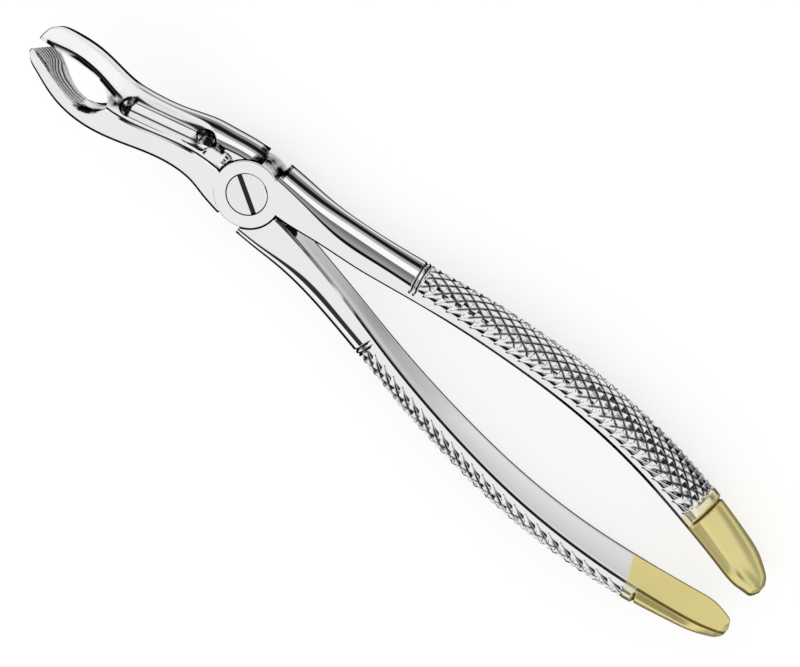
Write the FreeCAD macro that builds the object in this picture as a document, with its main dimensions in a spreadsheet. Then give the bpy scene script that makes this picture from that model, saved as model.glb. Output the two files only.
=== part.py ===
import FreeCAD, Part
import math
import os
import Sketcher

from FreeCAD import Placement, Rotation, Vector

# Extraction forceps with a scissor lap joint, in millimetres.
# The origin is on the pivot axis, on the back face of the joint. +X points to the beaks, +Z along the pivot
# axis to the screw's head, and +Y to the side of the front half's beak.
# Each half crosses over at the joint: the front half has its beak at +Y and its handle at -Y, the back half
# the other way round. Beaks are closed, as at rest.

SIZES = {
    # Lap joint
    "joint_thickness": 8.0,
    "plate_radius": 6.9,
    "plate_edge": 0.3,
    "lap_height": 4.0,
    "lap_gap": 0.06,
    "seat_gap": 0.3,
    # Pivot screw, and its running clearance in the front half
    "head_radius": 4.2,
    "head_height": 2.2,
    "head_bevel": 0.12,
    "shank_radius": 2.6,
    "end_radius": 2.25,
    "running_gap": 0.05,
    "seated_gap": 0.01,
    "slot_width": 1.05,
    "slot_depth": 1.3,
    "slot_angle": 32.0,
    # Handle zones, measured from the pivot
    "grip_start": 37.5,
    "grip_end": 107.5,
    "zone_reach": 60.0,
    # Corner rounding of the inner edges
    "handle_corner": 0.6,
    "beak_corner": 0.3,
    # Mouth between the beaks: it opens in an arc, is widest at the crown, then narrows to the tips
    "mouth_start": 31.0,
    "mouth_crown": 36.3,
    "mouth_half": 3.76,
    "mouth_shoulder": 41.5,
    "mouth_shoulder_half": 3.14,
    "mouth_end": 53.0,
    "mouth_end_half": 0.5,
    # Hollow of the spoon-shaped beaks
    "hollow_centre": 38.8,
    "hollow_height": 16.6,
    "hollow_length": 8.6,
    "hollow_width": 4.75,
    "hollow_depth": 3.7,
    "hollow_tilt": 9.0,
    # Relief scoops in the necks: a round-ended cutter along the sloping face
    "scoop_radius": 2.15,
    "scoop_side": 3.05,
    "front_scoop_start": 12.7,
    "front_scoop_height": 9.35,
    "front_scoop_length": 17.9,
    "front_scoop_slope": 35.0,
    "back_scoop_start": 13.9,
    "back_scoop_height": 0.35,
    "back_scoop_length": 17.0,
    "back_scoop_slope": 40.0,
}

STATION_FIELDS = ("along", "height", "half_depth", "inner", "flat", "crest")

# Handle sections: distance behind the pivot, centre height, half the depth, inner face, where the flat side
# ends, outer crest of the arch.
HANDLE = [
    (2.9, 4.0, 3.95, 0.12, 6.5, 8.8),
    (7.4, 4.0, 3.95, 0.12, 6.3, 8.8),
    (12.0, 3.95, 3.85, 0.65, 5.8, 8.75),
    (19.5, 3.85, 3.7, 2.0, 5.2, 9.25),
    (29.2, 3.85, 3.9, 4.0, 6.55, 10.65),
    (38.9, 3.85, 4.4, 6.2, 8.1, 12.4),
    (48.6, 3.85, 4.9, 8.1, 9.6, 14.25),
    (60.0, 3.85, 5.4, 9.75, 11.15, 15.9),
    (77.8, 3.85, 6.15, 11.1, 12.35, 17.35),
    (92.0, 3.85, 6.75, 10.6, 11.8, 16.6),
    (107.0, 3.85, 7.5, 8.6, 9.8, 14.0),
    (116.7, 3.85, 7.84, 6.7, 7.9, 11.3),
    (121.5, 3.85, 7.2, 5.7, 6.9, 9.7),
    (124.2, 3.85, 6.0, 5.25, 6.25, 8.5),
    (125.4, 3.85, 4.7, 5.2, 6.15, 7.8),
    (126.0, 3.85, 2.6, 5.5, 6.3, 7.0),
]

# Beak sections, in the same order of values, with the distance in front of the pivot.
BEAK = [
    (2.3, 4.0, 3.95, 0.12, 5.8, 8.6),
    (6.6, 4.0, 3.95, 0.12, 5.0, 7.95),
    (10.0, 4.05, 4.2, 0.12, 4.0, 7.2),
    (13.6, 5.0, 4.4, 0.12, 3.2, 6.75),
    (19.5, 9.4, 4.0, 0.12, 3.2, 6.2),
    (25.3, 14.1, 3.8, 0.12, 3.8, 6.4),
    (29.6, 16.55, 3.45, 0.12, 4.4, 6.8),
    (34.5, 17.2, 3.17, 0.12, 5.2, 7.35),
    (39.5, 16.65, 3.3, 0.12, 5.2, 7.3),
    (43.8, 15.9, 3.5, 0.12, 4.3, 6.45),
    (47.2, 15.35, 3.5, 0.12, 3.1, 5.4),
    (49.3, 15.4, 3.0, 0.12, 2.5, 4.2),
    (50.3, 15.9, 2.2, 0.12, 2.0, 3.2),
]

doc = FreeCAD.newDocument("extraction_forceps")
sheet = doc.addObject("Spreadsheet::Sheet", "sizes")


def station_alias(arm, number, field):
    return "%s_%s_%s" % (arm, chr(ord("a") + number), field)


def fill_sheet():
    """Puts every driving dimension in a cell of its own, with an alias."""
    values = dict(SIZES)
    for arm, stations in (("handle", HANDLE), ("beak", BEAK)):
        for number, station in enumerate(stations):
            for field, value in zip(STATION_FIELDS, station):
                values[station_alias(arm, number, field)] = value
    for row, (alias, value) in enumerate(values.items(), start=1):
        sheet.set("A%d" % row, alias)
        sheet.set("B%d" % row, str(value))
        sheet.setAlias("B%d" % row, alias)
    doc.recompute()


def bind(target, **formulas):
    """Binds properties of an object to formulas of the sheet's aliases; __ stands for a dot."""
    for name, formula in formulas.items():
        target.setExpression(name.replace("__", "."), formula)


def named(kind, name):
    made = doc.addObject(kind, name)
    made.Label = name
    return made


def origin_plane(body, role):
    return [feature for feature in body.Origin.OriginFeatures if feature.Role == role][0]


def new_sketch(body, name, role):
    sketch = body.newObject("Sketcher::SketchObject", name)
    sketch.AttachmentSupport = [(origin_plane(body, role), "")]
    sketch.MapMode = "FlatFace"
    return sketch


def size_constraint(sketch, name, formula, *constraint):
    index = sketch.addConstraint(Sketcher.Constraint(*constraint))
    sketch.renameConstraint(index, name)
    sketch.setExpression("Constraints." + name, formula)


def circle_arc(centre, radius, start, end):
    circle = Part.Circle(centre, Vector(0, 0, 1), radius)
    return Part.ArcOfCircle(circle, math.radians(start), math.radians(end))


def d_section(body, arm, number, station, direction, corner):
    """Sketch of one section: flat inner face, two rounded corners, two flat sides and a round outer arch."""
    along, height, half, inner, flat, crest = station
    radius = SIZES[corner]
    rise = crest - flat
    arch_radius = (rise ** 2 + half ** 2) / (2 * rise)
    arch_centre = Vector(crest - arch_radius, 0, 0)
    reach = math.degrees(math.asin(half / arch_radius))
    if rise > half:
        reach = 180 - reach
    sketch = new_sketch(body, "%s_section_%s" % (arm, chr(ord("a") + number)), "YZ_Plane")
    sketch.addGeometry([
        Part.LineSegment(Vector(inner, radius - half, 0), Vector(inner, half - radius, 0)),
        circle_arc(Vector(inner + radius, half - radius, 0), radius, 90, 180),
        Part.LineSegment(Vector(inner + radius, half, 0), Vector(flat, half, 0)),
        circle_arc(arch_centre, arch_radius, -reach, reach),
        Part.LineSegment(Vector(flat, -half, 0), Vector(inner + radius, -half, 0)),
        circle_arc(Vector(inner + radius, radius - half, 0), radius, 180, 270),
    ])
    for joined in (
        ("Tangent", 0, 2, 1, 2),
        ("Tangent", 1, 1, 2, 1),
        ("Coincident", 2, 2, 3, 2),
        ("Coincident", 3, 1, 4, 1),
        ("Tangent", 4, 2, 5, 2),
        ("Tangent", 5, 1, 0, 1),
        ("Vertical", 0),
        ("Horizontal", 2),
        ("Horizontal", 4),
        ("Symmetric", 3, 2, 3, 1, -1),
    ):
        sketch.addConstraint(Sketcher.Constraint(*joined))
    cell = {field: "sizes." + station_alias(arm, number, field) for field in STATION_FIELDS}
    rise_formula = "(%s - %s)" % (cell["crest"], cell["flat"])
    arch_formula = "(%s ^ 2 + %s ^ 2) / (2 * %s)" % (rise_formula, cell["half_depth"], rise_formula)
    size_constraint(sketch, "corner", "sizes." + corner, "Radius", 1, radius)
    size_constraint(sketch, "inner", cell["inner"], "DistanceX", -1, 1, 0, 1, inner)
    size_constraint(sketch, "half_depth", cell["half_depth"], "DistanceY", -1, 1, 2, 2, half)
    size_constraint(sketch, "flat", cell["flat"], "DistanceX", -1, 1, 2, 2, flat)
    size_constraint(sketch, "arch", arch_formula, "Radius", 3, arch_radius)
    sketch.AttachmentOffset = Placement(Vector(0, height, direction * along), Rotation())
    bind(sketch, AttachmentOffset__Base__y=cell["height"])
    bind(sketch, AttachmentOffset__Base__z="%d * %s" % (direction, cell["along"]))
    return sketch


def arm_form(arm, stations, direction, corner):
    """Body of one arm on the +Y side: a loft through its sections."""
    body = named("PartDesign::Body", arm + "_form")
    sketches = [
        d_section(body, arm, number, station, direction, corner) for number, station in enumerate(stations)
    ]
    loft = body.newObject("PartDesign::AdditiveLoft", arm + "_loft")
    loft.Profile = sketches[0]
    loft.Sections = sketches[1:]
    loft.Ruled = False
    return body


def mouth_outline(body):
    """Sketch of this arm's half of the mouth, seen along the pivot axis."""
    start, crown, shoulder = SIZES["mouth_start"], SIZES["mouth_crown"], SIZES["mouth_shoulder"]
    end, half = SIZES["mouth_end"], SIZES["mouth_half"]
    shoulder_half, end_half = SIZES["mouth_shoulder_half"], SIZES["mouth_end_half"]
    root_radius = ((crown - start) ** 2 + half ** 2) / (2 * half)
    drop = half - shoulder_half
    crown_radius = ((shoulder - crown) ** 2 + drop ** 2) / (2 * drop)
    root_angle = math.degrees(math.asin((crown - start) / root_radius))
    crown_angle = math.degrees(math.asin((shoulder - crown) / crown_radius))
    sketch = new_sketch(body, "mouth_outline", "XY_Plane")
    margin = 1.0
    sketch.addGeometry([
        circle_arc(Vector(crown, half - root_radius, 0), root_radius, 90, 90 + root_angle),
        circle_arc(Vector(crown, half - crown_radius, 0), crown_radius, 90 - crown_angle, 90),
        Part.LineSegment(Vector(shoulder, shoulder_half, 0), Vector(end, end_half, 0)),
        Part.LineSegment(Vector(end, end_half, 0), Vector(end, -margin, 0)),
        Part.LineSegment(Vector(end, -margin, 0), Vector(start, -margin, 0)),
        Part.LineSegment(Vector(start, -margin, 0), Vector(start, 0, 0)),
    ])
    for joined in (
        ("Coincident", 0, 1, 1, 2),
        ("Coincident", 1, 1, 2, 1),
        ("Coincident", 2, 2, 3, 1),
        ("Coincident", 3, 2, 4, 1),
        ("Coincident", 4, 2, 5, 1),
        ("Coincident", 5, 2, 0, 2),
        ("Vertical", 0, 1, 0, 3),
        ("Vertical", 0, 1, 1, 3),
        ("Vertical", 3),
        ("Horizontal", 4),
        ("Vertical", 5),
        ("PointOnObject", 0, 2, -1),
    ):
        sketch.addConstraint(Sketcher.Constraint(*joined))
    size_constraint(sketch, "start", "sizes.mouth_start", "DistanceX", -1, 1, 0, 2, start)
    size_constraint(sketch, "crown", "sizes.mouth_crown", "DistanceX", -1, 1, 0, 1, crown)
    size_constraint(sketch, "half", "sizes.mouth_half", "DistanceY", -1, 1, 0, 1, half)
    size_constraint(sketch, "shoulder", "sizes.mouth_shoulder", "DistanceX", -1, 1, 2, 1, shoulder)
    size_constraint(
        sketch, "shoulder_half", "sizes.mouth_shoulder_half", "DistanceY", -1, 1, 2, 1, shoulder_half
    )
    size_constraint(sketch, "tip", "sizes.mouth_end", "DistanceX", -1, 1, 2, 2, end)
    size_constraint(sketch, "tip_half", "sizes.mouth_end_half", "DistanceY", -1, 1, 2, 2, end_half)
    sketch.addConstraint(Sketcher.Constraint("DistanceY", 4, 1, -1, 1, margin))
    return sketch


def cut_mouth(body):
    """Opens the mouth through the beak, then hollows the beak like a spoon."""
    pocket = body.newObject("PartDesign::Pocket", "mouth_pocket")
    pocket.Profile = mouth_outline(body)
    pocket.Type = 1
    pocket.Midplane = True
    hollow = body.newObject("PartDesign::SubtractiveEllipsoid", "spoon_hollow")
    hollow.Angle1 = -90
    hollow.Angle2 = 90
    hollow.Angle3 = 360
    hollow.AttachmentOffset = Placement(Vector(0, 0, 0), Rotation(Vector(0, 1, 0), SIZES["hollow_tilt"]))
    hollow.AttachmentSupport = [(origin_plane(body, "XY_Plane"), "")]
    hollow.MapMode = "FlatFace"
    bind(hollow, Radius1="sizes.hollow_depth", Radius2="sizes.hollow_length", Radius3="sizes.hollow_width")
    bind(hollow, AttachmentOffset__Base__x="sizes.hollow_centre")
    bind(hollow, AttachmentOffset__Base__z="sizes.hollow_height")
    bind(hollow, AttachmentOffset__Rotation__Angle="sizes.hollow_tilt")


def mirrored(source):
    """The same form on the other side of the plane between the two halves."""
    twin = named("Part::Mirroring", source.Label + "_mirrored")
    twin.Source = source
    twin.Base = Vector(0, 0, 0)
    twin.Normal = Vector(0, 1, 0)
    return twin


def zone_box(name, start, end):
    """Box around both handles between two distances behind the pivot."""
    box = named("Part::Box", name)
    bind(box, Length="%s - %s" % (end, start), Width="2 * sizes.zone_reach", Height="2 * sizes.zone_reach")
    bind(box, Placement__Base__x="-(%s)" % end, Placement__Base__y="-sizes.zone_reach")
    bind(box, Placement__Base__z="-sizes.zone_reach")
    return box


def cylinder(name, radius, bottom, top):
    """Cylinder on the pivot axis between two heights."""
    made = named("Part::Cylinder", name)
    bind(made, Radius=radius, Height="%s - (%s)" % (top, bottom), Placement__Base__z=bottom)
    return made


def common(name, *shapes):
    made = named("Part::MultiCommon", name)
    made.Shapes = list(shapes)
    return made


def fused(name, *shapes):
    made = named("Part::MultiFuse", name)
    made.Shapes = list(shapes)
    return made


def cut(name, base, tool):
    made = named("Part::Cut", name)
    made.Base = base
    made.Tool = tool
    return made


def scoop(which, side):
    """Round-ended cutter along the sloping face of a neck: a cylinder with a ball at each end."""
    start, height = "sizes.%s_scoop_start" % which, "sizes.%s_scoop_height" % which
    length, slope = "sizes.%s_scoop_length" % which, "sizes.%s_scoop_slope * 1deg" % which
    lane = "%d * sizes.scoop_side" % side
    far_along = "%s + %s * cos(%s)" % (start, length, slope)
    far_height = "%s + %s * sin(%s)" % (height, length, slope)
    bar = named("Part::Cylinder", which + "_scoop_bar")
    bar.Placement = Placement(Vector(), Rotation(Vector(0, 1, 0), 90 - SIZES[which + "_scoop_slope"]))
    bind(bar, Radius="sizes.scoop_radius", Height=length)
    bind(bar, Placement__Base__x=start, Placement__Base__y=lane, Placement__Base__z=height)
    bind(bar, Placement__Rotation__Angle="90 - sizes.%s_scoop_slope" % which)
    near = named("Part::Sphere", which + "_scoop_near_end")
    bind(near, Radius="sizes.scoop_radius")
    bind(near, Placement__Base__x=start, Placement__Base__y=lane, Placement__Base__z=height)
    far = named("Part::Sphere", which + "_scoop_far_end")
    bind(far, Radius="sizes.scoop_radius")
    bind(far, Placement__Base__x=far_along, Placement__Base__y=lane, Placement__Base__z=far_height)
    return fused(which + "_scoop", bar, near, far)


def joint_plate(name, lap_side, rounded_top):
    """Round plate of the lap joint, from its hidden face at the lap out to the face that shows."""
    body = named("PartDesign::Body", name)
    sketch = new_sketch(body, name + "_profile", "XZ_Plane")
    radius, edge = SIZES["plate_radius"], SIZES["plate_edge"]
    half_gap = SIZES["lap_gap"] / 2
    if rounded_top:
        shown, hidden, inward, arc = SIZES["joint_thickness"], SIZES["lap_height"] + half_gap, -edge, (0, 90)
    else:
        shown, hidden, inward, arc = 0.0, SIZES["lap_height"] - half_gap, edge, (270, 360)
    sketch.addGeometry([
        Part.LineSegment(Vector(0, shown, 0), Vector(radius - edge, shown, 0)),
        circle_arc(Vector(radius - edge, shown + inward, 0), edge, *arc),
        Part.LineSegment(Vector(radius, shown + inward, 0), Vector(radius, hidden, 0)),
        Part.LineSegment(Vector(radius, hidden, 0), Vector(0, hidden, 0)),
        Part.LineSegment(Vector(0, hidden, 0), Vector(0, shown, 0)),
    ])
    flat_end, side_end = (2, 1) if rounded_top else (1, 2)
    for joined in (
        ("Tangent", 0, 2, 1, flat_end),
        ("Tangent", 1, side_end, 2, 1),
        ("Coincident", 2, 2, 3, 1),
        ("Coincident", 3, 2, 4, 1),
        ("Coincident", 4, 2, 0, 1),
        ("Horizontal", 0),
        ("Vertical", 2),
        ("Horizontal", 3),
        ("PointOnObject", 4, 1, -2),
        ("PointOnObject", 4, 2, -2),
    ):
        sketch.addConstraint(Sketcher.Constraint(*joined))
    size_constraint(sketch, "edge", "sizes.plate_edge", "Radius", 1, edge)
    size_constraint(sketch, "radius", "sizes.plate_radius", "DistanceX", -1, 1, 2, 2, radius)
    size_constraint(sketch, "hidden", lap_side, "DistanceY", -1, 1, 3, 1, hidden)
    if rounded_top:
        size_constraint(sketch, "shown", "sizes.joint_thickness", "DistanceY", -1, 1, 0, 1, shown)
    else:
        sketch.addConstraint(Sketcher.Constraint("PointOnObject", 0, 1, -1))
    turned = body.newObject("PartDesign::Revolution", name + "_turned")
    turned.Profile = sketch
    turned.ReferenceAxis = (sketch, ["V_Axis"])
    turned.Angle = 360
    return body


def joint_screw():
    """Pivot screw: wide slotted head, plain shank and a thinner end held in the back half."""
    body = named("PartDesign::Body", "joint_screw")
    sketch = new_sketch(body, "screw_profile", "XZ_Plane")
    top, head, bevel = SIZES["joint_thickness"], SIZES["head_radius"], SIZES["head_bevel"]
    under_head = top - SIZES["head_height"]
    shank, thin, lap = SIZES["shank_radius"], SIZES["end_radius"], SIZES["lap_height"]
    corners = [
        (0, 0), (thin, 0), (thin, lap), (shank, lap), (shank, under_head), (head, under_head),
        (head, top - bevel), (head - bevel, top), (0, top),
    ]
    points = [Vector(x, z, 0) for x, z in corners]
    count = len(points)
    sketch.addGeometry([Part.LineSegment(points[i], points[(i + 1) % count]) for i in range(count)])
    for i in range(count):
        sketch.addConstraint(Sketcher.Constraint("Coincident", i, 2, (i + 1) % count, 1))
    for line in (0, 2, 4, 7):
        sketch.addConstraint(Sketcher.Constraint("Horizontal", line))
    for line in (1, 3, 5, 8):
        sketch.addConstraint(Sketcher.Constraint("Vertical", line))
    sketch.addConstraint(Sketcher.Constraint("Coincident", 0, 1, -1, 1))
    size_constraint(sketch, "end_radius", "sizes.end_radius", "DistanceX", -1, 1, 1, 1, thin)
    size_constraint(sketch, "shank_radius", "sizes.shank_radius", "DistanceX", -1, 1, 3, 1, shank)
    size_constraint(sketch, "head_radius", "sizes.head_radius", "DistanceX", -1, 1, 5, 1, head)
    size_constraint(sketch, "lap", "sizes.lap_height", "DistanceY", -1, 1, 2, 1, lap)
    size_constraint(
        sketch, "under_head", "sizes.joint_thickness - sizes.head_height", "DistanceY", -1, 1, 4, 1, under_head
    )
    size_constraint(sketch, "top", "sizes.joint_thickness", "DistanceY", -1, 1, 7, 1, top)
    size_constraint(sketch, "bevel_in", "sizes.head_bevel", "DistanceX", 6, 2, 6, 1, bevel)
    size_constraint(sketch, "bevel_down", "sizes.head_bevel", "DistanceY", 6, 1, 6, 2, bevel)
    turned = body.newObject("PartDesign::Revolution", "screw_turned")
    turned.Profile = sketch
    turned.ReferenceAxis = (sketch, ["V_Axis"])
    turned.Angle = 360
    doc.recompute()
    solid_volume = body.Shape.Volume
    slot = body.newObject("PartDesign::Pocket", "screw_slot")
    slot.Profile = slot_outline(body)
    slot.Type = 0
    bind(slot, Length="sizes.slot_depth")
    doc.recompute()
    if body.Shape.Volume >= solid_volume:
        raise RuntimeError("the slot cuts nothing")
    return body


def slot_outline(body):
    """Rectangle across the screw's head, turned to where the screw stopped when it was driven home."""
    sketch = new_sketch(body, "slot_outline", "XY_Plane")
    reach, half = 2 * SIZES["head_radius"], SIZES["slot_width"] / 2
    corners = [Vector(-reach, -half, 0), Vector(reach, -half, 0), Vector(reach, half, 0), Vector(-reach, half, 0)]
    sketch.addGeometry([Part.LineSegment(corners[i], corners[(i + 1) % 4]) for i in range(4)])
    for i in range(4):
        sketch.addConstraint(Sketcher.Constraint("Coincident", i, 2, (i + 1) % 4, 1))
    for line in (0, 2):
        sketch.addConstraint(Sketcher.Constraint("Horizontal", line))
    for line in (1, 3):
        sketch.addConstraint(Sketcher.Constraint("Vertical", line))
    sketch.addConstraint(Sketcher.Constraint("Symmetric", 0, 1, 2, 1, -1, 1))
    size_constraint(sketch, "length", "4 * sizes.head_radius", "DistanceX", 0, 1, 0, 2, 2 * reach)
    size_constraint(sketch, "width", "sizes.slot_width", "DistanceY", 1, 1, 1, 2, 2 * half)
    sketch.AttachmentOffset = Placement(
        Vector(0, 0, SIZES["joint_thickness"]), Rotation(Vector(0, 0, -1), SIZES["slot_angle"])
    )
    bind(sketch, AttachmentOffset__Base__z="sizes.joint_thickness")
    bind(sketch, AttachmentOffset__Rotation__Angle="sizes.slot_angle")
    return sketch


def seat_cutter(name, bottom, top):
    """Round clearance for the other half's plate."""
    return cylinder(name, "sizes.plate_radius + sizes.seat_gap", bottom, top)


def forging(name, beak, handle, near_zone, plate, seat, holes):
    """One forging up to its grip: arms cut back round the other plate, joined by its own plate, then bored."""
    inner_handle = common(name + "_inner_handle", handle, near_zone)
    arms = fused(name + "_arms", beak, inner_handle)
    seated = cut(name + "_seated", arms, seat)
    joined = fused(name + "_joined", seated, plate)
    return cut(name, joined, holes)


def build():
    handle = arm_form("handle", HANDLE, -1, "handle_corner")
    beak = arm_form("beak", BEAK, 1, "beak_corner")
    doc.recompute()
    uncut = beak.Shape.Volume
    cut_mouth(beak)
    doc.recompute()
    if beak.Shape.Volume >= uncut:
        raise RuntimeError("the mouth cuts nothing")
    handle_twin, beak_twin = mirrored(handle), mirrored(beak)

    near_zone = zone_box("near_zone", "0", "sizes.grip_start")
    grip_zone = zone_box("grip_zone", "sizes.grip_start", "sizes.grip_end")
    end_zone = zone_box("end_zone", "sizes.grip_end", "sizes.grip_end + sizes.zone_reach")

    lap_low = "sizes.lap_height - sizes.lap_gap / 2"
    lap_high = "sizes.lap_height + sizes.lap_gap / 2"
    outside_low, outside_high = "-sizes.joint_thickness / 4", "sizes.joint_thickness * 5 / 4"
    front_plate = joint_plate("front_plate", lap_high, True)
    back_plate = joint_plate("back_plate", lap_low, False)

    counterbore = cylinder(
        "counterbore", "sizes.head_radius + sizes.running_gap",
        "sizes.joint_thickness - sizes.head_height - sizes.running_gap", outside_high,
    )
    bore = cylinder("pivot_bore", "sizes.shank_radius + sizes.running_gap", outside_low, outside_high)
    end_hole = cylinder("screw_hole", "sizes.end_radius + sizes.seated_gap", outside_low, outside_high)

    front_holes = fused("front_holes", counterbore, bore, scoop("back", 1))
    back_holes = fused("back_holes", end_hole, scoop("front", -1))
    front_seat = seat_cutter("front_seat", outside_low, lap_high)
    back_seat = seat_cutter("back_seat", lap_low, outside_high)

    return [
        forging("front_half", beak, handle_twin, near_zone, front_plate, front_seat, front_holes),
        forging("back_half", beak_twin, handle, near_zone, back_plate, back_seat, back_holes),
        common("front_grip", handle_twin, grip_zone),
        common("back_grip", handle, grip_zone),
        common("front_gold_end", handle_twin, end_zone),
        common("back_gold_end", handle, end_zone),
        joint_screw(),
    ]


def check(parts):
    """Stops before anything is written if an object failed or a sub-part is not a sound solid."""
    failed = [item.Label for item in doc.Objects if {"Invalid", "Error"} & set(item.State)]
    if failed:
        raise RuntimeError("failed objects: " + ", ".join(failed))
    for part in parts:
        if part.Shape.isNull() or not part.Shape.isValid() or len(part.Shape.Solids) != 1:
            raise RuntimeError("unsound sub-part: " + part.Label)


def write(parts):
    os.makedirs("parts", exist_ok=True)
    for part in parts:
        part.Shape.exportStep("parts/%s.step" % part.Label)
        box = part.Shape.BoundBox
        print("%-16s %9.1f mm3  X %.2f..%.2f  Y %.2f..%.2f  Z %.2f..%.2f" % (
            part.Label, part.Shape.Volume, box.XMin, box.XMax, box.YMin, box.YMax, box.ZMin, box.ZMax))


fill_sheet()
sub_parts = build()
doc.recompute()
check(sub_parts)
write(sub_parts)
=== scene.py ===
import math

import bpy
import numpy as np
from mathutils import Matrix, Vector


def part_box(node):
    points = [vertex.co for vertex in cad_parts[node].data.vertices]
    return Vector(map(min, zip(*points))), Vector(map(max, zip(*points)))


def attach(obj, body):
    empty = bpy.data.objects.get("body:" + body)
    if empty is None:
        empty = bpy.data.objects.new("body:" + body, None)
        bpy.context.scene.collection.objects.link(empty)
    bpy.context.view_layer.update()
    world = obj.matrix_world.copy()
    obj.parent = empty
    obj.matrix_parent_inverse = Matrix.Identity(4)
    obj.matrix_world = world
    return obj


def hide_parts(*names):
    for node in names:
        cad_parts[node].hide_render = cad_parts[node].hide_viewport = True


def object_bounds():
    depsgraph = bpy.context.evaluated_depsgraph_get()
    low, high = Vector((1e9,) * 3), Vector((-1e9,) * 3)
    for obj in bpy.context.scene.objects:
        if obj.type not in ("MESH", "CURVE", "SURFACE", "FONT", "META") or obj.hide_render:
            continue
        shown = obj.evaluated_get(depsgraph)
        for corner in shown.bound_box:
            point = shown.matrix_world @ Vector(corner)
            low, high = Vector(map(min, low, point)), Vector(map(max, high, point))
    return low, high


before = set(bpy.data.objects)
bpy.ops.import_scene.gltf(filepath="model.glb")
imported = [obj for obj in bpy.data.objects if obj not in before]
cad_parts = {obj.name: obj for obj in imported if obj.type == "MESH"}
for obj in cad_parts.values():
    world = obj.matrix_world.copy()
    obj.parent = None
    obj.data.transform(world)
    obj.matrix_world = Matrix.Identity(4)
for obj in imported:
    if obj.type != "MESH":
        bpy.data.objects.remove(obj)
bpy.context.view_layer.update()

# Extraction forceps: two mirror-polished halves that cross at a screwed lap joint, with knurled grips and
# gold-plated handle ends. Sizes are in millimetres in the CAD model's frame and turn to metres in a mesh.

MM = 0.001

BACK, FRONT = "back_forging", "front_forging"


def in_mm(vector):
    """Corner of a CAD box in millimetres."""
    return [value / MM for value in vector]


HEAD_HIGH = in_mm(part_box("joint_screw")[1])
GRIP_LOW, GRIP_HIGH = (in_mm(corner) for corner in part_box("back_grip"))
END_LOW = in_mm(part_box("back_gold_end")[0])
HALF_HIGH = in_mm(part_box("back_half")[1])

JOINT_TOP = HEAD_HIGH[2]
LAP = JOINT_TOP / 2
GRIP_START, GRIP_END = -GRIP_HIGH[0], -GRIP_LOW[0]
HANDLE_END = -END_LOW[0]
TIP = HALF_HIGH[0]

# Lap joint
PLATE_RADIUS = 6.9
PLATE_EDGE = 0.2
LAP_GAP = 0.06
SEAT_GAP = 0.3
SCREW_RADIUS = HEAD_HIGH[0]
SCREW_HEAD_HEIGHT, SCREW_BEVEL = 2.2, 0.12
SCREW_END_RADIUS, SCREW_END_BORE = 2.25, 2.3
RING_GAP = 0.14
SLOT_WIDTH = 1.05
SLOT_DEPTH = 1.3
SLOT_ANGLE = -32.0

# Arm sections. Each station gives the distance from the pivot, centre height, half the depth, inner face,
# where the flat side ends, and the outer crest of the arch.
HANDLE = [
    (2.9, 4.0, 4.0, 0.12, 6.5, 8.8),
    (7.4, 4.0, 3.99, 0.12, 6.3, 8.8),
    (12.0, 3.95, 3.85, 0.65, 5.8, 8.75),
    (19.5, 3.85, 3.7, 2.0, 5.2, 9.25),
    (29.2, 3.85, 3.9, 4.0, 6.55, 10.65),
    (38.9, 3.85, 4.4, 6.2, 8.1, 12.5),
    (48.6, 3.85, 4.9, 8.1, 9.6, 14.5),
    (60.0, 3.85, 5.4, 9.75, 11.15, 16.1),
    (77.8, 3.85, 6.15, 11.1, 12.35, 17.35),
    (92.0, 3.85, 6.75, 10.6, 11.8, 16.6),
    (107.0, 3.85, 7.5, 8.6, 9.8, 14.0),
    (116.7, 3.9, 7.7, 6.7, 7.9, 11.25),
    (121.5, 4.15, 6.95, 5.7, 6.9, 9.55),
    (124.2, 4.6, 5.2, 5.25, 6.25, 8.3),
    (125.4, 4.85, 3.55, 5.25, 6.15, 7.45),
    (126.0, 5.0, 1.5, 5.6, 6.3, 6.75),
]
BEAK = [
    (2.3, 4.0, 4.0, 0.12, 5.8, 8.6),
    (6.6, 4.0, 4.0, 0.12, 5.0, 7.95),
    (10.0, 4.05, 4.2, 0.12, 4.0, 7.2),
    (13.6, 5.0, 4.4, 0.12, 3.2, 6.75),
    (19.5, 9.4, 4.0, 0.12, 3.2, 6.2),
    (25.3, 14.1, 3.8, 0.12, 3.8, 6.4),
    (29.6, 16.55, 3.45, 0.12, 4.4, 6.8),
    (34.5, 17.2, 3.15, 0.12, 5.2, 7.35),
    (39.5, 16.65, 3.3, 0.12, 5.2, 7.3),
    (43.8, 15.9, 3.5, 0.12, 4.3, 6.45),
    (47.2, 15.35, 3.5, 0.12, 3.1, 5.6),
    (49.3, 15.4, 3.2, 0.12, 2.4, 4.65),
    (50.3, 15.6, 2.7, 0.12, 2.0, 3.7),
]
HANDLE_ROOT, BEAK_ROOT = HANDLE[0][0], BEAK[0][0]
GRIP_HEIGHT = 3.85

# Bevels by width and height. The outline bevel runs along the outer edge of the front half's beak.
FRONT_BEVEL, BACK_BEVEL = (0.3, 0.66), (0.27, 1.1)
OUTLINE_BEVEL, HANDLE_BEVEL = (0.75, 0.7), (0.6, 0.66)
BEAK_BEVEL = (0.3, 0.3)

# Section of the front half's beak: how far its flat front reaches, and the shares of its outer side that the
# bevel and the side end at, with how much the side bulges
FULL_REACH, FULL_DROP = 0.86, 0.22
FULL_BEVEL_END, FULL_SIDE_END, FULL_BACK_LENGTH, SIDE_BULGE = 0.2, 0.55, 0.45, 0.2


# ---------------------------------------------------------------- curves

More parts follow.
